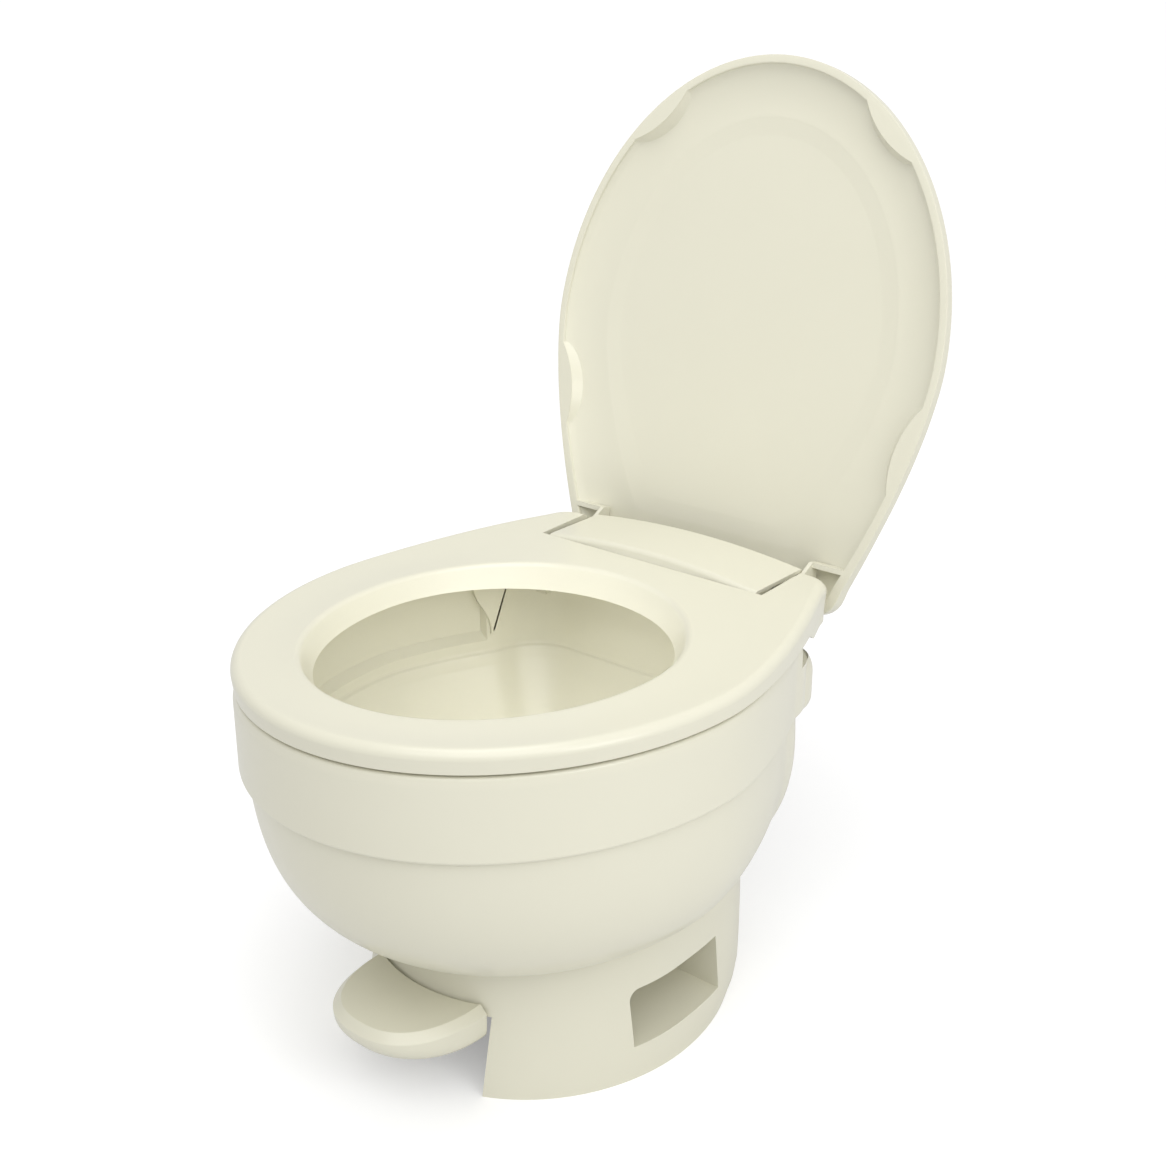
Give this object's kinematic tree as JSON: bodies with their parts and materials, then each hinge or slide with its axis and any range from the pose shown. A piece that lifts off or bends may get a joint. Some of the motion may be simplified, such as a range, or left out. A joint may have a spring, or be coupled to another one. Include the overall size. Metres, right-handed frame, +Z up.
{
  "type": "rv toilet",
  "caption": "Low plastic motorhome toilet with a round bowl on a waisted pedestal, a hinged seat and lid, and a foot pedal that turns a ball valve and opens the flush water.",
  "frame": {"origin": "middle of the bounding box, on the floor", "axes": "+X to the right of the toilet as seen from its front, +Y to the rear, +Z up"},
  "size_m": [0.378, 0.5312, 0.6994],
  "materials": {
    "shell": "glossy bone moulding",
    "inner_plastic": "satin",
    "rubber": "matt",
    "steel": "plated",
    "brass": "turned",
    "white_plastic": "natural moulding",
    "black_plastic": "satin",
    "tube": "semi-clear hose"
  },
  "bodies": {
    "base": {"bolt_washer_left": "steel", "bolt_washer_right": "steel", "bowl": "shell", "bowl_seal": "rubber", "bowl_skirt": "shell", "breaker_cap": "white_plastic", "closet_bolt_left": "steel", "closet_bolt_right": "steel", "closet_nut_left": "steel", "closet_nut_right": "steel", "flange_screw_1": "steel", "flange_screw_2": "steel", "flange_screw_3": "steel", "flange_screw_4": "steel", "flush_nozzle": "shell", "flush_tube": "tube", "hinge_bracket": "inner_plastic", "hinge_cover": "shell", "hinge_pin_left": "steel", "hinge_pin_right": "steel", "outlet_gasket": "rubber", "pedal_bushing_left": "white_plastic", "pedal_bushing_right": "white_plastic", "pedestal": "shell", "return_spring": "steel", "rim_ring": "shell", "supply_nipple": "white_plastic", "supply_tube": "tube", "vacuum_breaker_body": "white_plastic", "valve_cap": "white_plastic", "valve_housing": "black_plastic", "water_valve_body": "white_plastic"},
    "lid_body": {"lid": "shell"},
    "seat_body": {"seat": "shell", "seat_bumper_front_right": "rubber", "seat_bumper_front_left": "rubber", "seat_bumper_rear_right": "rubber", "seat_bumper_rear_left": "rubber"},
    "pedal_body": {"pedal": "shell", "pedal_shaft": "steel", "pedal_gear": "white_plastic", "crank": "steel"},
    "ball_body": {"valve_ball": "white_plastic", "ball_pinion": "white_plastic"},
    "rod_body": {"valve_rod": "steel", "valve_plunger": "brass"},
    "nut_body": {"swivel_nut": "black_plastic"},
    "float_body": {"breaker_float": "black_plastic"}
  },
  "joints": [
    {"name": "lid_hinge", "type": "hinge", "parent": "base", "child": "lid_body", "pos_m": [0, 0.1424, 0.307], "axis": [1, 0, 0], "range_deg": [0, 104]},
    {"name": "seat_hinge", "type": "hinge", "parent": "base", "child": "seat_body", "pos_m": [0, 0.1424, 0.307], "axis": [1, 0, 0], "range_deg": [-102, 0]},
    {"name": "pedal_hinge", "type": "hinge", "parent": "base", "child": "pedal_body", "pos_m": [0, -0.11185, 0.062], "axis": [1, 0, 0], "range_deg": [0, 20], "stiffness_Nm_per_rad": 4, "springref_deg": -14.32},
    {"name": "ball_turn", "type": "hinge", "parent": "base", "child": "ball_body", "pos_m": [0, -0.0256, 0.062], "axis": [1, 0, 0], "range_deg": [-95, 0]},
    {"name": "rod_slide", "type": "slide", "parent": "base", "child": "rod_body", "axis": [0, -1, 0], "range_m": [0, 0.0092]},
    {"name": "nut_turn", "type": "hinge", "parent": "base", "child": "nut_body", "pos_m": [-0.064, 0.1324, 0.088], "axis": [0, 1, 0], "continuous": true},
    {"name": "float_lift", "type": "slide", "parent": "base", "child": "float_body", "axis": [0, 0, 1], "range_m": [0, 0.032]}
  ],
  "couplings": [
    {"joint": "ball_turn", "follows": "pedal_hinge", "ratio": -4.75},
    {"joint": "rod_slide", "follows": "pedal_hinge", "m_per_rad": 0.026}
  ]
}
